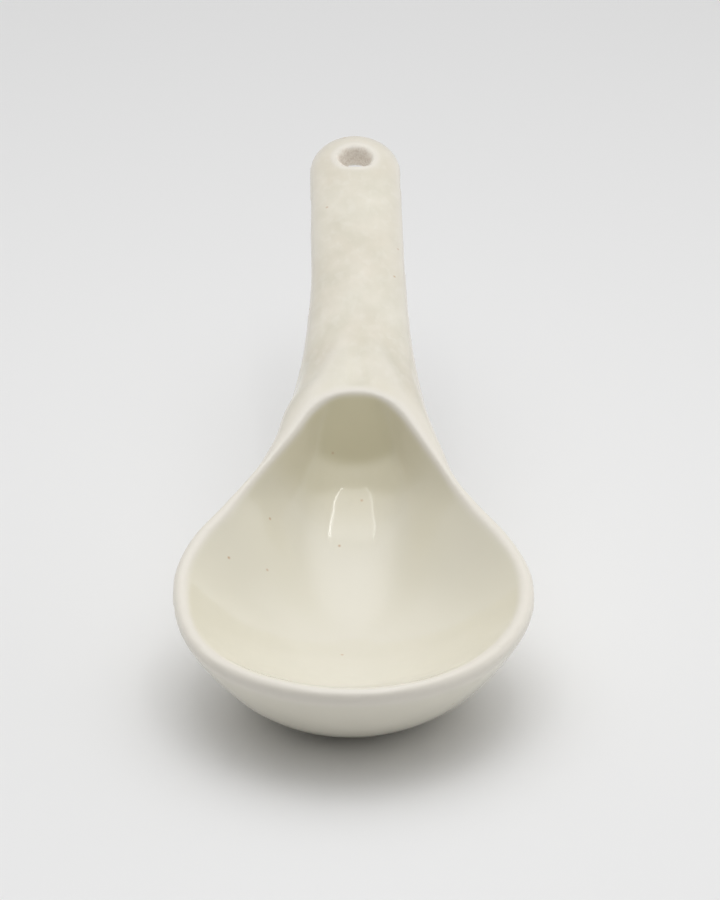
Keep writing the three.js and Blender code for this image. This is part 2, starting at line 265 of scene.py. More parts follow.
@dataclass(frozen=True)
class BowlForm:
    """The bowl as formed: flat foot, outside wall, round lip, hollow inside and a steep back wall."""

    radius: float = 24.2
    front: float = 26.6
    throat_radius: float = 9.25
    throat_setback: float = 25.3
    flank_waist: float = 0.8
    rim_front_height: float = 15.0
    rim_back_height: float = 29.9
    rim_sweep: float = 2.3
    lip_thickness: float = 2.4
    arch_thickness: float = 1.4
    arch_focus: float = 2.0
    floor_thickness: float = 7.4
    throat_rise: float = 14.2
    throat_curve: float = 1.9
    foot_radius: float = 7.5
    foot_front: float = 7.2
    foot_back_radius: float = 5.5
    foot_setback: float = 18.5
    outside_curve: float = 2.15
    inside_curve: float = 2.2
    throat_side_curve: float = 3.4
    throat_focus: float = 4.0
    back_wall_curve: float = 36.0
    back_wall_focus: float = 10.0
    back_wall_lean: float = math.radians(70)
    back_wall_foot: float = 29.8
    apron_lean: float = math.radians(48)
    back_wall_dish: float = 0.052
    fillet: float = 2.4
    turn_steps: int = 288
    wall_steps: int = 40
    lip_steps: int = 20
    floor_steps: int = 60

    @property
    def arch_place(self) -> float:
        """Where the top of the lip is at the back, along +Y."""
        return self.throat_setback + self.throat_radius - self.arch_thickness / 2

    @property
    def foot(self) -> Teardrop:
        """Outline of the flat foot."""
        return Teardrop(self.foot_radius, self.foot_front, self.foot_back_radius, self.foot_setback)

    def lip_round(self, direction: Array) -> Array:
        """Radius of the lip's round, which sharpens to a ridge at the arch."""
        backward = np.maximum(np.sin(direction), 0) ** self.arch_focus
        return (self.lip_thickness + (self.arch_thickness - self.lip_thickness) * backward) / 2

    def lip_middle(self, direction: Array) -> tuple[Array, Array]:
        """Distance and height of the middle of the lip's round."""
        outline = Teardrop(
            self.radius, self.front, self.throat_radius, self.throat_setback, self.flank_waist
        )
        lip_round = self.lip_round(direction)
        distance = outline.reach(direction) - lip_round
        front = self.front - self.lip_thickness / 2
        along = np.maximum(distance * np.sin(direction) + front, 0) / (self.arch_place + front)
        climb = (self.rim_back_height - self.rim_front_height) * along**self.rim_sweep
        return distance, self.rim_front_height + climb - lip_round

    def lip_point(self, direction: Array, turn: Array) -> Array:
        """Points on the lip: turn 0 faces out, a quarter turn is its top and a half turn faces in."""
        distance, height = self.lip_middle(direction)
        lip_round = self.lip_round(direction)
        return around(direction, distance + lip_round * np.cos(turn), height + lip_round * np.sin(turn))

    def lip_start(self, direction: Array) -> Array:
        """Turn at which the outside wall runs smoothly into the lip."""
        distance, height = self.lip_middle(direction)
        spread = distance + self.lip_round(direction) - self.foot.reach(direction)
        return np.arctan2(self.outside_curve * height, spread) - math.pi / 2

    def outside_point(self, direction: Array, share: Array) -> Array:
        """Points on the outside wall, from the foot's edge at share 0 to the lip's lower end at 1."""
        base = self.foot.reach(direction)
        edge = self.lip_point(direction, self.lip_start(direction))
        reach, top = np.hypot(edge[..., 0], edge[..., 1]), edge[..., 2]
        return around(direction, base + (reach - base) * share, top * share**self.outside_curve)

    def floor_climb(self, y: Array) -> Array:
        """Height that the floor has gained at a place along the spoon."""
        back_wall = self.arch_place - self.arch_thickness / 2
        return self.throat_rise * (np.maximum(y, 0) / back_wall) ** self.throat_curve

    def inside_curves(self, direction: Array) -> tuple[Array, Array]:
        """How late the inside turns up into a side wall, and the back wall's share of the rise."""
        backward = np.maximum(np.sin(direction), 0)
        later = (self.throat_side_curve - self.inside_curve) * backward**self.throat_focus
        return self.inside_curve + later, backward**self.back_wall_focus

    def lip_end(self, direction: Array) -> Array:
        """Turn at which the lip runs smoothly into the inside."""
        distance, height = self.lip_middle(direction)
        y = distance * np.sin(direction)
        wall = height - self.floor_thickness - self.floor_climb(y)
        curve, steep = self.inside_curves(direction)
        climb = self.throat_curve * self.floor_climb(y)
        climb += wall * ((1 - steep) * curve + steep * self.back_wall_curve)
        return math.pi / 2 + np.arctan2(climb, distance)

    def back_wall(self, x: Array, y: Array) -> Array:
        """Height of the leaning wall under the arch, dished across, and of the apron below it."""
        back = np.array(BACK)
        edge = self.lip_point(back, self.lip_end(back))
        above_foot = np.maximum(edge[1] - np.maximum(y, self.back_wall_foot), 0)
        below_foot = np.maximum(self.back_wall_foot - y, 0)
        drop = above_foot * math.tan(self.back_wall_lean) + below_foot * math.tan(self.apron_lean)
        return edge[2] - drop + self.back_wall_dish * x**2

    def inside_point(self, direction: Array, share: Array) -> Array:
        """Points on the inside, from the middle of the floor at share 0 to the lip's inner end at 1."""
        edge = self.lip_point(direction, self.lip_end(direction))
        reach, top = np.hypot(edge[..., 0], edge[..., 1]), edge[..., 2]
        wall = top - self.floor_thickness - self.floor_climb(reach * np.sin(direction))
        x, y = share * reach * np.cos(direction), share * reach * np.sin(direction)
        curve, steep = self.inside_curves(direction)
        bend = (1 - steep) * share**curve + steep * share**self.back_wall_curve
        height = self.floor_thickness + self.floor_climb(y) + wall * bend
        rise = self.back_wall(x, y)

        # The higher of floor and wall, with a fillet where they meet that fades out under the lip
        fillet = np.maximum(1 - np.abs(height - rise) / self.fillet, 0) ** 2 * self.fillet / 4
        return around(direction, share * reach, np.maximum(height, rise) + fillet * (1 - share))

    def skin_point(self, direction: Array, share: Array) -> Array:
        """Points from the foot's edge at share 0, over the outside wall, to the top of the lip at 1."""
        wall_share = 1 - self.lip_thickness / self.rim_back_height
        wall = self.outside_point(direction, np.minimum(share / wall_share, 1))
        over = np.clip((share - wall_share) / (1 - wall_share), 0, 1)
        start = self.lip_start(direction)
        lip = self.lip_point(direction, start + over * (math.pi / 2 - start))
        return np.where((share <= wall_share)[..., None], wall, lip)

    def surface(self) -> Surface:
        """The whole bowl without its neck, as a closed surface."""
        direction = full_turn(self.turn_steps)
        rings = [self.outside_point(direction, i / self.wall_steps) for i in range(self.wall_steps)]
        for i in range(self.lip_steps + 1):
            start, end = self.lip_start(direction), self.lip_end(direction)
            rings.append(self.lip_point(direction, start + (end - start) * i / self.lip_steps))
        for i in range(self.floor_steps - 1, 0, -1):
            rings.append(self.inside_point(direction, math.sin(i / self.floor_steps * math.pi / 2)))
        return loft(np.zeros(3), np.array(rings), np.array([0, 0, self.floor_thickness]))


@dataclass(frozen=True)
class HandleForm:
    """Flare and handle in one length, grown out of the bowl's back and grooved underneath."""

    bowl: BowlForm
    reach: float = 102.3
    rise: float = math.radians(10.5)
    neck_length: float = 17.2
    width: float = 14.0
    neck_width: float = 15.6
    taper_length: float = 20.0
    taper_curve: float = 2.0
    tip_thickness: float = 4.6
    neck_thickness: float = 7.5
    thinning_curve: float = 1.5
    tip_length: float = 9.0
    tip_round_curve: float = 2.2
    tip_edge_curve: float = 4.0
    waist_share: float = 0.42
    groove_depth: float = 2.2
    section_squareness: float = 1.85
    top_height: float = 29.1
    hole_diameter: float = 5.2
    hole_setback: float = 8.2
    flare_spread: float = math.radians(45)
    flare_foot: float = 0.45
    flare_waist: float = 0.86
    flare_squareness: float = 1.7
    flare_lift: float = math.radians(16)
    root_depth: float = 0.45
    ridge_depth: float = 0.05
    section_steps: int = 160
    root_steps: int = 8
    flare_steps: int = 48
    handle_steps: int = 60
    tip_steps: int = 30
    hole_steps: int = 64

    @property
    def neck_end(self) -> float:
        """Where the flare has become the handle."""
        return self.bowl.arch_place + self.neck_length

    @property
    def tip_start(self) -> float:
        """Where the rounded end begins."""
        return self.reach - self.tip_length

    @property
    def hole_place(self) -> float:
        """Middle of the hanging hole, along +Y."""
        return self.reach - self.hole_setback

    def handle_point(self, turn: Array, y: Array) -> Array:
        """Points on the handle's section, from the right-hand edge down, under, up the left and over."""
        ending = np.clip((y - self.tip_start) / self.tip_length, 0, 1)
        to_tip = np.maximum((self.reach - y) / (self.reach - self.neck_end), 0)
        to_taper_end = np.maximum((self.neck_end + self.taper_length - y) / self.taper_length, 0)
        top = self.top_height + math.tan(self.rise) * (y - self.bowl.arch_place)
        thick = self.tip_thickness
        thick += (self.neck_thickness - self.tip_thickness) * to_tip**self.thinning_curve
        wide = self.width + (self.neck_width - self.width) * to_taper_end**self.taper_curve
        waist = top - thick * (1 - self.waist_share)
        across = reshaped(np.cos(turn), self.section_squareness)
        up = -reshaped(np.sin(turn), self.section_squareness)
        part = np.where(up > 0, 1 - self.waist_share, self.waist_share)
        reach = part * thick * np.sqrt(1 - ending**self.tip_edge_curve)
        hollow = np.where(up > 0, 0, self.groove_depth * (1 - across**2) ** 2 * (1 - ending))
        x = wide / 2 * across * (1 - ending**self.tip_round_curve) ** (1 / self.tip_round_curve)
        return np.stack([x, np.broadcast_to(y, x.shape), waist + reach * up + hollow], axis=-1)

    def root_point(self, turn: Array, spread: float) -> tuple[Array, Array]:
        """Points of the flare's root, sunk into the bowl's back, and the bowl's outward directions."""
        direction = BACK - self.flare_spread * spread * reshaped(np.cos(turn), self.flare_squareness)
        up = -reshaped(np.sin(turn), self.flare_squareness)
        room = np.where(up > 0, 1 - self.flare_waist, self.flare_waist - self.flare_foot)
        share = self.flare_waist + room * spread * up
        skin = self.bowl.skin_point
        sideways = skin(direction + SLOPE_STEP, share) - skin(direction - SLOPE_STEP, share)
        above = skin(direction, np.minimum(share + SLOPE_STEP, 1))
        outward = unit(np.cross(sideways, above - skin(direction, share - SLOPE_STEP)))
        depth = self.root_depth + (self.ridge_depth - self.root_depth) * np.maximum(up * spread, 0)
        return skin(direction, share) - depth[..., None] * outward, outward

    def flare_point(self, turn: Array, share: float) -> Array:
        """Points on the flare, from the root's edge at share 0 to the start of the handle at 1."""
        start, outward = self.root_point(turn, 1)
        inward = unit(self.root_point(turn, 1 - SLOPE_STEP)[0] - start)
        leave = inward * math.cos(self.flare_lift) + outward * math.sin(self.flare_lift)
        end = self.handle_point(turn, self.neck_end)
        arrive = unit(self.handle_point(turn, self.neck_end + SLOPE_STEP) - end)
        pull = np.linalg.norm(end - start, axis=-1, keepdims=True)
        s, s2, s3 = share, share**2, share**3
        ends = start * (2 * s3 - 3 * s2 + 1) + end * (3 * s2 - 2 * s3)
        return ends + pull * (leave * (s3 - 2 * s2 + s) + arrive * (s3 - s2))

    def surface(self) -> Surface:
        """Flare and handle as one closed surface."""
        turn = full_turn(self.section_steps)
        rings = [self.root_point(turn, i / self.root_steps)[0] for i in range(1, self.root_steps)]
        rings += [self.flare_point(turn, i / self.flare_steps) for i in range(self.flare_steps)]
        for i in range(self.handle_steps):
            y = self.neck_end + (self.tip_start - self.neck_end) * i / self.handle_steps
            rings.append(self.handle_point(turn, y))
        for i in range(self.tip_steps):
            y = self.tip_start + self.tip_length * math.sin(i / self.tip_steps * math.pi / 2)
            rings.append(self.handle_point(turn, y))
        start = self.root_point(np.zeros(1), 0)[0][0]
        return loft(start, np.array(rings), self.handle_point(np.zeros(1), self.reach)[0])

    def hole_drill(self) -> Surface:
        """The rod that pierces the hanging hole, straight down through the rounded end."""
        turn = full_turn(self.hole_steps)
        rim = around(turn, np.full_like(turn, self.hole_diameter / 2), np.zeros_like(turn))
        ends = [np.array([0, self.hole_place, height]) for height in (0, 2 * self.reach)]
        return loft(ends[0], np.array([rim + end for end in ends]), ends[1])


def linked(name: str, data: Any) -> bpy.types.Object:
    """Makes an object of a mesh, lamp or camera and links it to the scene."""
    made = bpy.data.objects.new(name, data)
    bpy.context.scene.collection.objects.link(made)
    return made


def mesh_object(name: str, surface: Surface) -> bpy.types.Object:
    """Makes an object from a surface.

    Args:
        name: Name of the object and its mesh.
        surface: Points and faces.

    Returns:
        The object, linked to the scene.
    """
    mesh = bpy.data.meshes.new(name)
    mesh.from_pydata(surface.points.tolist(), [], surface.faces)
    return linked(name, mesh)


def settle(piece: bpy.types.Object) -> None:
    """Turns an object's modifiers into its plain mesh and removes them."""
    bpy.context.view_layer.update()
    evaluated = piece.evaluated_get(bpy.context.evaluated_depsgraph_get())
    mesh = bpy.data.meshes.new_from_object(evaluated)
    piece.modifiers.clear()
    piece.data = mesh


def cut_away(piece: bpy.types.Object, cutter: bpy.types.Object) -> None:
    """Cuts one closed object out of another and removes the cutter."""
    cut = piece.modifiers.new("cut", "BOOLEAN")
    cut.operation = "DIFFERENCE"
    cut.solver = "EXACT"
    cut.object = cutter
    settle(piece)
    bpy.data.objects.remove(cutter)


def fuse(pieces: list[bpy.types.Object], voxel: float) -> bpy.types.Object:
    """Works overlapping closed objects into one skin of even faces.

    Args:
        pieces: Objects to join; the first one stays.
        voxel: Size of the new faces.

    Returns:
        The first object, with the new mesh.
    """
    joined = bmesh.new()
    for piece in pieces:
        joined.from_mesh(piece.data)
    joined.to_mesh(pieces[0].data)
    joined.free()
    for piece in pieces[1:]:
        bpy.data.objects.remove(piece)
    remesh = pieces[0].modifiers.new("one_skin", "REMESH")
    remesh.mode = "VOXEL"
    remesh.voxel_size = voxel
    settle(pieces[0])
    return pieces[0]


@dataclass(frozen=True)
class HandSway:
    """How the maker's hand strayed from the true form, each pair with its place along +Y: how far
    sideways, and by what share the left flank was drawn in."""

    strays: tuple[Pair, ...] = (
        (-26, -0.5), (-16, -0.35), (-4, -0.05), (6, -0.15), (19, -0.45), (30, -0.1),
        (38, 0.4), (50, 0.52), (66, 0.5), (80, 0.3), (92, 0.1), (102, -0.05),
    )
    flank: tuple[Pair, ...] = (
        (-26, -0.01), (-17, -0.02), (-10, -0.008), (0, 0.0), (11, -0.017), (17, -0.014), (21, 0.008),
        (23, 0.025), (25, 0.043), (27, 0.06), (28.5, 0.066), (30, 0.056), (32, 0.026), (34, 0.0),
    )

    def applied(self, surface: Surface) -> Surface:
        """A surface moved sideways along its length.

        Args:
            surface: The true form.

        Returns:
            The form as it came off the hand.
        """
        points = surface.points.copy()
        stray, drawn_in = (np.interp(points[:, 1], *zip(*pairs)) for pairs in (self.strays, self.flank))
        points[:, 0] -= np.minimum(points[:, 0], 0) * drawn_in
        points[:, 0] += stray
        return Surface(points, surface.faces)


@dataclass(frozen=True)
class HandFinish:
    """How the maker's hands and the glaze leave the surface: softened joins, slow ripples, and glaze
    that runs thin on edges, pools in hollows and leaves the hanging hole and the foot bare. The glaze's
    straw tint is also painted on as shade on the back wall under the arch and on the bowl's inner sides.
    A pair tells where an effect starts and where it is full."""

    softening_steps: int = 9
    neck_steps: int = 60
    edge_steps: int = 30
    pool_steps: int = 220
    ripple_height: float = 0.2
    ripple_size: float = 16.0
    dent_height: float = 0.04
    dent_size: float = 5.0
    collar_height: float = 0.18
    collar_width: float = 1.5
    bare_foot: float = 0.35
    ragged_size: float = 1.1
    ragged_reach: float = 0.5
    seed: float = 4.0
    melting_bend: Pair = (0.0, 0.05)
    melting_facing: Pair = (-0.5, -0.25)
    melting_reach: Pair = (0.0, 6.0)
    thin_bend: Pair = (-0.03, -0.2)
    pool_bend: Pair = (0.5, 1.2)
    # Painted shade on the back wall under the arch: surfaces facing the front, past the neck's start
    painted_shade_facing: Pair = (-0.2, -0.95)
    painted_shade_reach: Pair = (0.0, 10.0)
    # Painted warm shade on the bowl's inner sides, growing as they face in, at this share
    painted_side_shade_facing: Pair = (0.0, -0.75)
    painted_side_shade_share: float = 0.3
    bare_edge: Pair = (0.2, -0.05)

    def inputs(self, handle: HandleForm, glaze: bpy.types.Material) -> dict[str, Any]:
        """Values of the node group's inputs.

        Args:
            handle: Form whose neck and hole the finish follows.
            glaze: Material of the finished skin.

        Returns:
            Values by the input's name.
        """
        return {
            "Softening Steps": self.softening_steps,
            "Neck Steps": self.neck_steps,
            "Edge Steps": self.edge_steps,
            "Pool Steps": self.pool_steps,
            "Neck Start": handle.bowl.throat_setback - handle.bowl.throat_radius,
            "Ripple Height": self.ripple_height,
            "Ripple Pitch": 1 / self.ripple_size,
            "Dent Height": self.dent_height,
            "Dent Pitch": 1 / self.dent_size,
            "Hole Place": handle.hole_place,
            "Hole Radius": handle.hole_diameter / 2,
            "Collar Height": self.collar_height,
            "Collar Width": self.collar_width,
            "Bare Foot": self.bare_foot,
            "Ragged Pitch": 1 / self.ragged_size,
            "Ragged Reach": self.ragged_reach,
            "Seed": self.seed,
            "Material": glaze,
        }

    def tree(self, values: dict[str, Any]) -> bpy.types.NodeTree:
        """Geometry Nodes that finish a skin of clay.

        Args:
            values: Values that each get an input of their name and type.

        Returns:
            The node group.
        """
        group = bpy.data.node_groups.new("hand_finish", "GeometryNodeTree")
        for way in ("INPUT", "OUTPUT"):
            group.interface.new_socket("Geometry", in_out=way, socket_type="NodeSocketGeometry")
        for name, value in values.items():
            kind = next(kind for sort, kind in SOCKET_KINDS.items() if isinstance(value, sort))
            group.interface.new_socket(name, in_out="INPUT", socket_type=kind)

        add = partial(add_node, group)
        sizes = add("NodeGroupInput").outputs
        place = add("GeometryNodeInputPosition")
        normal = add("GeometryNodeInputNormal")
        at, facing = (add("ShaderNodeSeparateXYZ", {0: it}).outputs for it in (place, normal))
        past, along, under = (
            add("ShaderNodeMath.SUBTRACT", {0: at[axis], 1: sizes[name]})
            for axis, name in (("Y", "Neck Start"), ("Y", "Hole Place"), ("Z", "Bare Foot"))
        )
        side = add("ShaderNodeMath.SIGN", {0: at["X"]})
        inward = add("ShaderNodeMath.MULTIPLY", {0: facing["X"], 1: side})

        # How far a blurred skin rises over a hollow, or sinks under an edge, tells how it bends there
        blurred, bend = {}, {}
        for steps in ("Softening Steps", "Edge Steps", "Pool Steps"):
            blurred[steps] = add(
                "GeometryNodeBlurAttribute",
                {"Value": place, "Iterations": sizes[steps]},
                data_type="FLOAT_VECTOR",
            )
            sunk = add("ShaderNodeVectorMath.SUBTRACT", {0: blurred[steps], 1: place})
            bend[steps] = add("ShaderNodeVectorMath.DOT_PRODUCT", {0: sunk, 1: normal})

        # The foot is wiped and the hole cleaned before firing, up to a ragged edge of glaze
        flat = add("ShaderNodeCombineXYZ", {"X": at["X"], "Y": along})
        radius = add("ShaderNodeVectorMath.LENGTH", {0: flat})
        outside = add("ShaderNodeMath.SUBTRACT", {0: radius, 1: sizes["Hole Radius"]})
        rough = add("ShaderNodeTexNoise", {"Vector": place, "Scale": sizes["Ragged Pitch"]})
        swing = add("ShaderNodeMapRange", {"Value": rough, "To Min": -1.0, "To Max": 1.0})
        ragged = add("ShaderNodeMath.MULTIPLY", {0: swing, 1: sizes["Ragged Reach"]})
        nearest = add("ShaderNodeMath.MINIMUM", {0: under, 1: outside})
        edge = add("ShaderNodeMath.ADD", {0: nearest, 1: ragged})

        hollow, forward, beyond, thinned, gathered, steep, hidden, flank, wiped = (
            add("ShaderNodeMapRange", {"Value": value, "From Min": none, "From Max": full})
            for value, (none, full) in (
                (bend["Edge Steps"], self.melting_bend),
                (facing["Y"], self.melting_facing),
                (past, self.melting_reach),
                (bend["Edge Steps"], self.thin_bend),
                (bend["Pool Steps"], self.pool_bend),
                (facing["Y"], self.painted_shade_facing),
                (past, self.painted_shade_reach),
                (inward, self.painted_side_shade_facing),
                (edge, self.bare_edge),
            )
        )

        # The whole skin is softened a little, and the joins round the neck so much that they melt away
        skin = add(
            "GeometryNodeSetPosition",
            {"Geometry": sizes["Geometry"], "Position": blurred["Softening Steps"]},
        )
        melting = hollow
        for share in (forward, beyond):
            melting = add("ShaderNodeMath.MULTIPLY", {0: share, 1: melting})
        melted = add(
            "GeometryNodeBlurAttribute",
            {"Value": place, "Iterations": sizes["Neck Steps"], "Weight": melting},
            data_type="FLOAT_VECTOR",
        )
        skin = add("GeometryNodeSetPosition", {"Geometry": skin, "Position": melted})

        # Slow ripples from the hands, small dents from the fingers, a collar of glaze round the hole
        swings = []
        for height, pitch in (("Ripple Height", "Ripple Pitch"), ("Dent Height", "Dent Pitch")):
            noise = add(
                "ShaderNodeTexNoise",
                {"Vector": place, "W": sizes["Seed"], "Scale": sizes[pitch], "Detail": 0.0},
                noise_dimensions="4D",
            )
            swing = add("ShaderNodeMapRange", {"Value": noise, "To Min": -1.0, "To Max": 1.0})
            swings.append((height, swing))
        collar = add(
            "ShaderNodeMapRange",
            {"Value": outside, "From Min": sizes["Collar Width"], "From Max": 0.0},
            interpolation_type="SMOOTHSTEP",
        )
        swings.append(("Collar Height", collar))
        for height, swing in swings:
            push = add("ShaderNodeMath.MULTIPLY", {0: swing, 1: sizes[height]})
            shift = add("ShaderNodeVectorMath.SCALE", {0: normal, "Scale": push})
            skin = add("GeometryNodeSetPosition", {"Geometry": skin, "Offset": shift})

        # Nothing sinks below the table
        above = add("ShaderNodeMath.MAXIMUM", {0: at["Z"], 1: 0.0})
        standing = add("ShaderNodeCombineXYZ", {"X": at["X"], "Y": at["Y"], "Z": above})
        skin = add("GeometryNodeSetPosition", {"Geometry": skin, "Position": standing})

        # Glaze leaves sharp edges and gathers in hollows; its straw tint is also painted on as shade on
        # the back wall under the arch and on the inner sides
        run, painted_side_shade = (
            add("ShaderNodeMath.MULTIPLY", {0: share, 1: part})
            for share, part in ((steep, hidden), (flank, self.painted_side_shade_share))
        )
        thick = gathered
        for share in (run, painted_side_shade):
            thick = add("ShaderNodeMath.MAXIMUM", {0: thick, 1: share})
        for mark, share in zip(GlazeMark, (thinned, thick, wiped)):
            skin = add(
                "GeometryNodeStoreNamedAttribute",
                {"Geometry": skin, "Name": mark.value, "Value": share},
                data_type="FLOAT",
                domain="POINT",
            )

        smooth = add("GeometryNodeSetShadeSmooth", {"Geometry": skin})
        real = add("GeometryNodeRealizeInstances", {"Geometry": smooth})
        glazed = add("GeometryNodeSetMaterial", {"Geometry": real, "Material": sizes["Material"]})
        add("NodeGroupOutput", {"Geometry": glazed})
        return group

    def apply(self, skin: bpy.types.Object, handle: HandleForm, glaze: bpy.types.Material) -> None:
        """Finishes a skin of clay and makes the result its plain mesh.

        Args:
            skin: Object to finish.
            handle: Form whose neck and hole the finish follows.
            glaze: Material of the finished skin.
        """
        values = self.inputs(handle, glaze)
        finish = skin.modifiers.new("hand_finish", "NODES")
        finish.node_group = self.tree(values)
        for socket in finish.node_group.interface.items_tree:
            if socket.in_out == "INPUT" and socket.name in values:
                finish[socket.identifier] = values[socket.name]
        settle(skin)


@dataclass(frozen=True)
class Cloud:
    """A tint that drifts through the glaze: its size, its fineness, the noise where it starts and is
    full, and its share there."""

    size: float
    detail: float
    start: float
    full: float
    share: float = 1.0


@dataclass(frozen=True)
class CreamGlaze:
    """Feldspathic cream glaze, dipped over grey-buff stoneware and fired glossy.

    To the eye: a warm off-white glass with soft reflections, clear in the bowl and cloudy on the handle,
    paler where it thins on an edge, straw yellow where it pools, with brown iron specks and an
    orange-peel skin. The same straw yellow is painted on as shade on the back wall under the arch and on
    the bowl's inner sides. The unglazed clay under it is dull and sandy.
    """

    body: str = "#e8e4d6"
    cloud: str = "#f1eee5"
    blush: str = "#dacdb9"
    stain: str = "#c9c6b1"
    # Straw yellow of glaze gathered in hollows, also used as painted shade on the back wall and inner
    # sides
    pool_and_painted_shade: str = "#dcd5b7"
    thin: str = "#e9e4d9"
    iron: str = "#b98038"
    clay: str = "#f1eadf"
    clay_grain: str = "#dfd5c8"
    ior: float = 1.5
    gloss: Pair = (0.08, 0.22)
    clay_roughness: float = 0.85
    blush_cloud: Cloud = Cloud(9.0, 3.0, 0.25, 0.8, 0.6)
    stain_cloud: Cloud = Cloud(3.5, 4.0, 0.3, 0.8, 0.5)
    mottle_cloud: Cloud = Cloud(1.4, 2.0, 0.5, 0.72, 0.22)
    grain: Cloud = Cloud(0.3, 3.0, 0.4, 0.65)
    cloudy_from: Pair = (22.0, 34.0)
    clear_share: float = 0.05
    cloud_stretch: Triple = (1.0, 0.6, 1.0)
    speck_spacing: float = 4.8
    speck_radius: float = 0.3
    speck_share: float = 0.7
    peel_size: float = 1.3
    peel_height: float = 0.005
    peel_detail: float = 1.0

    def material(self) -> bpy.types.Material:
        """Builds the material.

        Returns:
            The glaze over clay, driven by the marks on a finished skin.
        """
        material = bpy.data.materials.new("cream_feldspathic_glaze_over_stoneware")
        add = partial(add_node, blank_tree(material))
        place = add("ShaderNodeTexCoord").outputs["Object"]
        # Thin glaze, glaze gathered in hollows together with painted shade, and bare clay
        thin, pooled_and_shaded, bare = (
            add("ShaderNodeAttribute", attribute_name=mark.value).outputs["Fac"] for mark in GlazeMark
        )

        # Wide blushes where the clay warms the glass, grey stains, milky mottles, and sand in bare clay
        along = add("ShaderNodeSeparateXYZ", {0: place}).outputs["Y"]
        clear, full = (reach * MM for reach in self.cloudy_from)
        cloudy = add(
            "ShaderNodeMapRange",
            {"Value": along, "From Min": clear, "From Max": full, "To Min": self.clear_share},
        )
        drawn = add("ShaderNodeVectorMath.MULTIPLY", {0: place, 1: self.cloud_stretch})
        drifts = []
        for cloud in (self.blush_cloud, self.stain_cloud, self.mottle_cloud, self.grain):
            noise = add(
                "ShaderNodeTexNoise",
                {"Vector": drawn, "Scale": per_metre(cloud.size), "Detail": cloud.detail},
            )
            limits = {"From Min": cloud.start, "From Max": cloud.full, "To Max": cloud.share}
            drifts.append(add("ShaderNodeMapRange", {"Value": noise, **limits}))
        grain = drifts.pop()
        blush, stain, mottle = (add("ShaderNodeMath.MULTIPLY", {0: it, 1: cloudy}) for it in drifts)

        # Iron specks: small spheres in the clay that the surface slices here and there
        cells = add("ShaderNodeTexVoronoi", {"Vector": place, "Scale": per_metre(self.speck_spacing)})
        rim = self.speck_radius / self.speck_spacing
        speck = add(
            "ShaderNodeMapRange",
            {"Value": cells, "From Min": rim, "From Max": 0.0, "To Max": self.speck_share},
        )
        sand = add(
            "ShaderNodeMix",
            {"Factor": grain, "A": linear(self.clay), "B": linear(self.clay_grain)},
            data_type="RGBA",
        )
        colour: Any = linear(self.body)
        for share, tint in (
            (blush, linear(self.blush)),
            (stain, linear(self.stain)),
            (mottle, linear(self.cloud)),
            # Straw yellow where glaze gathers, and painted shade on the back wall and inner sides
            (pooled_and_shaded, linear(self.pool_and_painted_shade)),
            (thin, linear(self.thin)),
            (speck, linear(self.iron)),
            (bare, sand),
        ):
            colour = add("ShaderNodeMix", {"Factor": share, "A": colour, "B": tint}, data_type="RGBA")

        # The gloss and the orange peel of the glass give way to the dull grain of bare clay
        glossy, duller = self.gloss
        shine = add("ShaderNodeMapRange", {"Value": thin, "To Min": glossy, "To Max": duller})
        peel = add(
            "ShaderNodeTexNoise",
            {"Vector": place, "Scale": per_metre(self.peel_size), "Detail": self.peel_detail},
        )
        rough, relief = (
            add("ShaderNodeMix", {"Factor": bare, "A": glass, "B": clay}, data_type="FLOAT")
            for glass, clay in ((shine, self.clay_roughness), (peel, grain))
        )
        bump = add("ShaderNodeBump", {"Height": relief, "Distance": self.peel_height * MM})
        shader = add(
            "ShaderNodeBsdfPrincipled",
            {"Base Color": colour, "Roughness": rough, "IOR": self.ior, "Normal": bump},
        )
        add("ShaderNodeOutputMaterial", {"Surface": shader})
        return material


@dataclass(frozen=True)
class LutingClay:
    """Dried and fired slip, without glaze: dull, fine and buff."""

    light: str = "#bfb1a2"
    dark: str = "#a4957f"
    grain_size: float = 0.6
    grain_detail: float = 3.0
    roughness: float = 0.85

    def material(self) -> bpy.types.Material:
        """Builds the material."""
        material = bpy.data.materials.new("fired_luting_slip")
        add = partial(add_node, blank_tree(material))
        place = add("ShaderNodeTexCoord").outputs["Object"]
        noise = add(
            "ShaderNodeTexNoise",
            {"Vector": place, "Scale": per_metre(self.grain_size), "Detail": self.grain_detail},
        )
        colour = add(
            "ShaderNodeMix",
            {"Factor": noise, "A": linear(self.light), "B": linear(self.dark)},
            data_type="RGBA",
        )
        shader = add("ShaderNodeBsdfPrincipled", {"Base Color": colour, "Roughness": self.roughness})
        add("ShaderNodeOutputMaterial", {"Surface": shader})
        return material


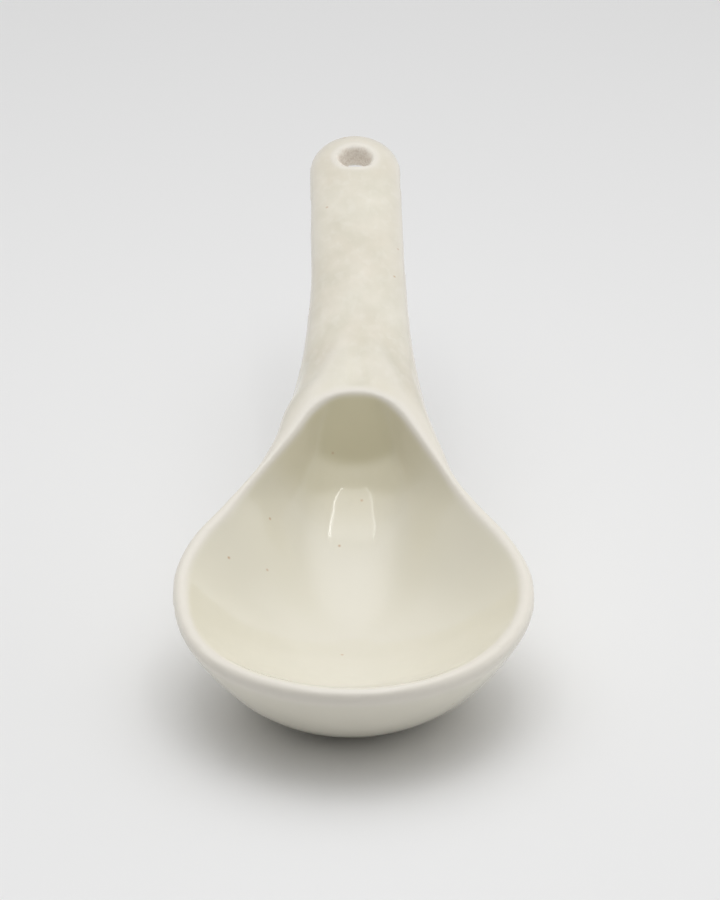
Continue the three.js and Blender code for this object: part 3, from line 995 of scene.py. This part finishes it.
@dataclass(frozen=True)
class Spoon:
    """The whole spoon: one glazed skin over bowl and handle, parted where they are luted together."""

    handle: HandleForm
    sway: HandSway
    finish: HandFinish
    glaze: CreamGlaze
    slip: LutingClay
    voxel: float = 0.34
    slip_clearance: float = 0.3
    recess_steps: int = 48

    def build(self, frame: dict[str, Any]) -> None:
        """Makes the pieces, dresses them and seats them on the frame.
        """
        blank = mesh_object("handle_blank", self.sway.applied(self.handle.surface()))
        cut_away(blank, mesh_object("hole_drill", self.sway.applied(self.handle.hole_drill())))
        bowl_form = mesh_object("bowl_form", self.sway.applied(self.handle.bowl.surface()))
        skin = fuse([bowl_form, blank], self.voxel)
        self.finish.apply(skin, self.handle, self.glaze.material())

        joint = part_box("handle")[0].y / MM
        bowl = self._parted("glazed_bowl", skin, joint, Side.FRONT)
        grip = self._parted("glazed_handle", skin, joint, Side.BEHIND)
        bpy.data.objects.remove(skin)
        cut_away(grip, self._recess())
        for piece, node in ((bowl, "bowl"), (grip, "handle")):
            piece.data.transform(Matrix.Scale(MM, 4))
            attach(piece, BODY)
            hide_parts(node)
            LOG.info("%s stands for %s with %d faces", piece.name, node, len(piece.data.polygons))

        pad = frame["nodes"]["slip_joint"]
        pad.data.materials.clear()
        pad.data.materials.append(self.slip.material())
        LOG.info("%s keeps its solid, inside the neck", pad.name)

    @staticmethod
    def _parted(name: str, skin: bpy.types.Object, joint: float, side: Side) -> bpy.types.Object:
        """One side of the skin, closed where the two clay members are luted.

        Args:
            name: Name of the piece.
            skin: The whole skin.
            joint: Place of the joint's face, along +Y.
            side: Side that is kept.

        Returns:
            The closed piece.
        """
        part = bmesh.new()
        part.from_mesh(skin.data)
        bmesh.ops.bisect_plane(
            part,
            geom=part.verts[:] + part.edges[:] + part.faces[:],
            plane_co=(0, joint, 0),
            plane_no=(0, 1, 0),
            clear_outer=side is Side.FRONT,
            clear_inner=side is Side.BEHIND,
        )
        rim = [edge for edge in part.edges if edge.is_boundary]
        for edge in rim:
            edge.smooth = False
        face = bmesh.ops.edgeloop_fill(part, edges=rim)["faces"]
        bmesh.ops.recalc_face_normals(part, faces=part.faces[:])
        LOG.info("%s is closed by %d face at the joint", name, len(face))
        mesh = bpy.data.meshes.new(name)
        part.to_mesh(mesh)
        part.free()
        mesh.materials.append(skin.data.materials[0])
        return linked(name, mesh)

    def _recess(self) -> bpy.types.Object:
        """The oval hollow in the handle's joint face that holds the pad of slip."""
        low, high = (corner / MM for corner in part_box("slip_joint"))
        middle, size = (low + high) / 2, high - low
        turn = -full_turn(self.recess_steps)
        rim = np.stack([np.cos(turn), np.zeros_like(turn), np.sin(turn)], axis=-1)
        rim *= [size.x / 2 + self.slip_clearance, 0, size.z / 2 + self.slip_clearance]
        ends = [np.array([middle.x, y, middle.z]) for y in (low.y - self.slip_clearance, high.y)]
        return mesh_object("slip_recess", loft(ends[0], np.array([rim + end for end in ends]), ends[1]))


@dataclass(frozen=True)
class Softbox:
    """A lamp behind a sheet of white cloth, whose glow may fade to its rim or have a port cut out."""

    name: str
    place: Triple
    aim: Triple
    size: Pair
    brightness: float
    softness: float = 0.0
    port: float = 0.0
    port_setback: float = 44.0
    port_edge: float = 1.0

    def build(self) -> None:
        """Hangs the lamp, with its power set from the brightness of its face."""
        lamp = bpy.data.lights.new(self.name, "AREA")
        lamp.shape = "RECTANGLE"
        lamp.size, lamp.size_y = (side * MM for side in self.size)
        lamp.energy = self.brightness * math.pi * lamp.size * lamp.size_y
        if self.softness or self.port:
            self._shade(lamp)
        hung = linked(self.name, lamp)
        hung.location = Vector(self.place) * MM
        down = Vector(self.aim) - Vector(self.place)
        hung.rotation_euler = down.to_track_quat("-Z", "Y").to_euler()

    def _shade(self, lamp: bpy.types.AreaLight) -> None:
        """Lets the cloth's glow fade towards its rim, and cuts a round port for the lens."""
        add = partial(add_node, blank_tree(lamp))
        spot = add("ShaderNodeNewGeometry").outputs["Parametric"]
        across, along = self.size
        rings = []
        if self.softness:
            full = MIDDLE * (1 - self.softness)
            rings.append(((MIDDLE, MIDDLE, 0.0), (1.0, 1.0, 0.0), MIDDLE, full))
        if self.port:
            centre = (MIDDLE, -self.port_setback / along, 0.0)
            rings.append((centre, (across, along, 0.0), self.port, self.port + self.port_edge))
        glow: Any = 1.0
        for centre, scale, none, full in rings:
            off = add("ShaderNodeVectorMath.SUBTRACT", {0: spot, 1: centre})
            sized = add("ShaderNodeVectorMath.MULTIPLY", {0: off, 1: scale})
            away = add("ShaderNodeVectorMath.LENGTH", {0: sized})
            glow = add(
                "ShaderNodeMapRange",
                {"Value": away.outputs["Value"], "From Min": none, "From Max": full, "To Max": glow},
                interpolation_type="SMOOTHSTEP",
            )
        cloth = add("ShaderNodeEmission", {"Strength": glow})
        add("ShaderNodeOutputLight", {"Surface": cloth})


@dataclass(frozen=True)
class Pane:
    """A patch of brighter or darker cloth in the tent.

    Each fade has an axis, and how far along it a direction points where the patch ends and where it is
    in full.
    """

    name: str
    brightness: float
    fades: tuple[tuple[Triple, float, float], ...]


@dataclass(frozen=True)
class Studio:
    """A pale table in a white tent with brighter and darker panes, under a softbox, and a lamp panel
    between two strips that the glaze in the throat mirrors."""

    floor_colour: str = "#ebebeb"
    floor_radius: float = 2500.0
    floor_steps: int = 96
    floor_drop: float = 0.03
    floor_roughness: float = 0.7
    floor_shine: float = 0.2
    tent_colour: str = "#ffffff"
    tent_brightness: float = 0.32
    panes: tuple[Pane, ...] = (
        Pane("ceiling", 0.41, ((UPWARD, 0.35, 0.95),)),
        Pane("front_curtain", -0.29, ((BACKWARD, -0.1, -0.75), (UPWARD, 0.9, 0.5))),
        Pane("front_glow", 0.2, ((BACKWARD, -0.3, -0.8), (UPWARD, 0.22, 0.02))),
        Pane("window", 0.7, ((RIGHTWARD, 0.2, 0.8), (UPWARD, 0.7, 0.2), (BACKWARD, -0.95, -0.45))),
        Pane(
            "side_wall",
            0.42,
            ((RIGHTWARD, -0.2, -0.9), (UPWARD, 0.65, 0.1), (BACKWARD, -0.7, -0.2)),
        ),
        Pane(
            "back_sheet",
            0.3,
            (
                (BACKWARD, 0.08, 0.22),
                (RIGHTWARD, -0.75, -0.5),
                (RIGHTWARD, 0.75, 0.5),
                (UPWARD, 0.3, 0.5),
            ),
        ),
    )
    lamps: tuple[Softbox, ...] = (
        Softbox("overhead_softbox", (15, 45, 380), (15, 45, 0), (780, 780), 0.93, 0.85),
        Softbox("ceiling_panel", (0, -36, 378), (0, -36, 0), (160, 214), 1.2, port=82),
        Softbox("left_strip_lamp", (-82, -36, 375), (-82, -36, 0), (7, 214), 4.5),
        Softbox("right_strip_lamp", (82, -36, 375), (82, -36, 0), (7, 214), 9.5),
    )

    def build(self) -> None:
        """Makes the floor, the tent and the lamps."""
        scene = bpy.context.scene
        scene.view_settings.view_transform = "Standard"
        world = bpy.data.worlds.new("white_tent")
        add = partial(add_node, blank_tree(world))
        way = add("ShaderNodeTexCoord").outputs["Generated"]
        glow: Any = self.tent_brightness
        for pane in self.panes:
            share: Any = pane.brightness
            for axis, none, full in pane.fades:
                far = add("ShaderNodeVectorMath.DOT_PRODUCT", {0: way, 1: axis}).outputs["Value"]
                share = add(
                    "ShaderNodeMapRange",
                    {"Value": far, "From Min": none, "From Max": full, "To Max": share},
                    interpolation_type="SMOOTHSTEP",
                )
            glow = add("ShaderNodeMath.ADD", {0: share, 1: glow}, label=pane.name)
        sky = add("ShaderNodeBackground", {"Color": linear(self.tent_colour), "Strength": glow})
        add("ShaderNodeOutputWorld", {"Surface": sky})
        scene.world = world
        self._floor()
        for lamp in self.lamps:
            lamp.build()

    def _floor(self) -> None:
        """Lays the table's pale sheet of card."""
        turn = full_turn(self.floor_steps)
        rim = around(turn, np.full_like(turn, self.floor_radius), np.full_like(turn, -self.floor_drop))
        sheet = mesh_object("pale_floor", Surface(rim * MM, [list(range(self.floor_steps))]))
        card = bpy.data.materials.new("matt_white_card")
        add = partial(add_node, blank_tree(card))
        shader = add(
            "ShaderNodeBsdfPrincipled",
            {
                "Base Color": linear(self.floor_colour),
                "Roughness": self.floor_roughness,
                "Specular IOR Level": self.floor_shine,
            },
        )
        add("ShaderNodeOutputMaterial", {"Surface": shader})
        sheet.data.materials.append(card)


@dataclass(frozen=True)
class PhotoCamera:
    """The camera at the photograph's place: level with the spoon's length, looking down on the bowl."""

    place: Triple = (0.75, -496.96, 279.06)
    pitch: float = math.radians(26)
    focal_pixels: float = 4211.7
    sensor: float = 36.0
    clip_start: float = 10.0
    clip_end: float = 20000.0

    def build(self) -> None:
        """Sets the scene's camera."""
        data = bpy.data.cameras.new("photo_camera")
        data.sensor_fit = "VERTICAL"
        data.sensor_height = self.sensor
        data.lens = self.focal_pixels / IMAGE_HEIGHT * self.sensor
        data.clip_start = self.clip_start * MM
        data.clip_end = self.clip_end * MM
        camera = linked("photo_camera", data)
        camera.location = Vector(self.place) * MM
        camera.rotation_euler = (math.pi / 2 - self.pitch, 0, 0)
        bpy.context.scene.camera = camera


def main() -> None:
    """Dresses the spoon and lights it."""
    logging.basicConfig(level=logging.INFO, format="%(name)s: %(message)s")
    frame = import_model()
    PhotoCamera().build()
    Studio().build()
    Spoon(HandleForm(BowlForm()), HandSway(), HandFinish(), CreamGlaze(), LutingClay()).build(frame)


if __name__ == "__main__":
    main()
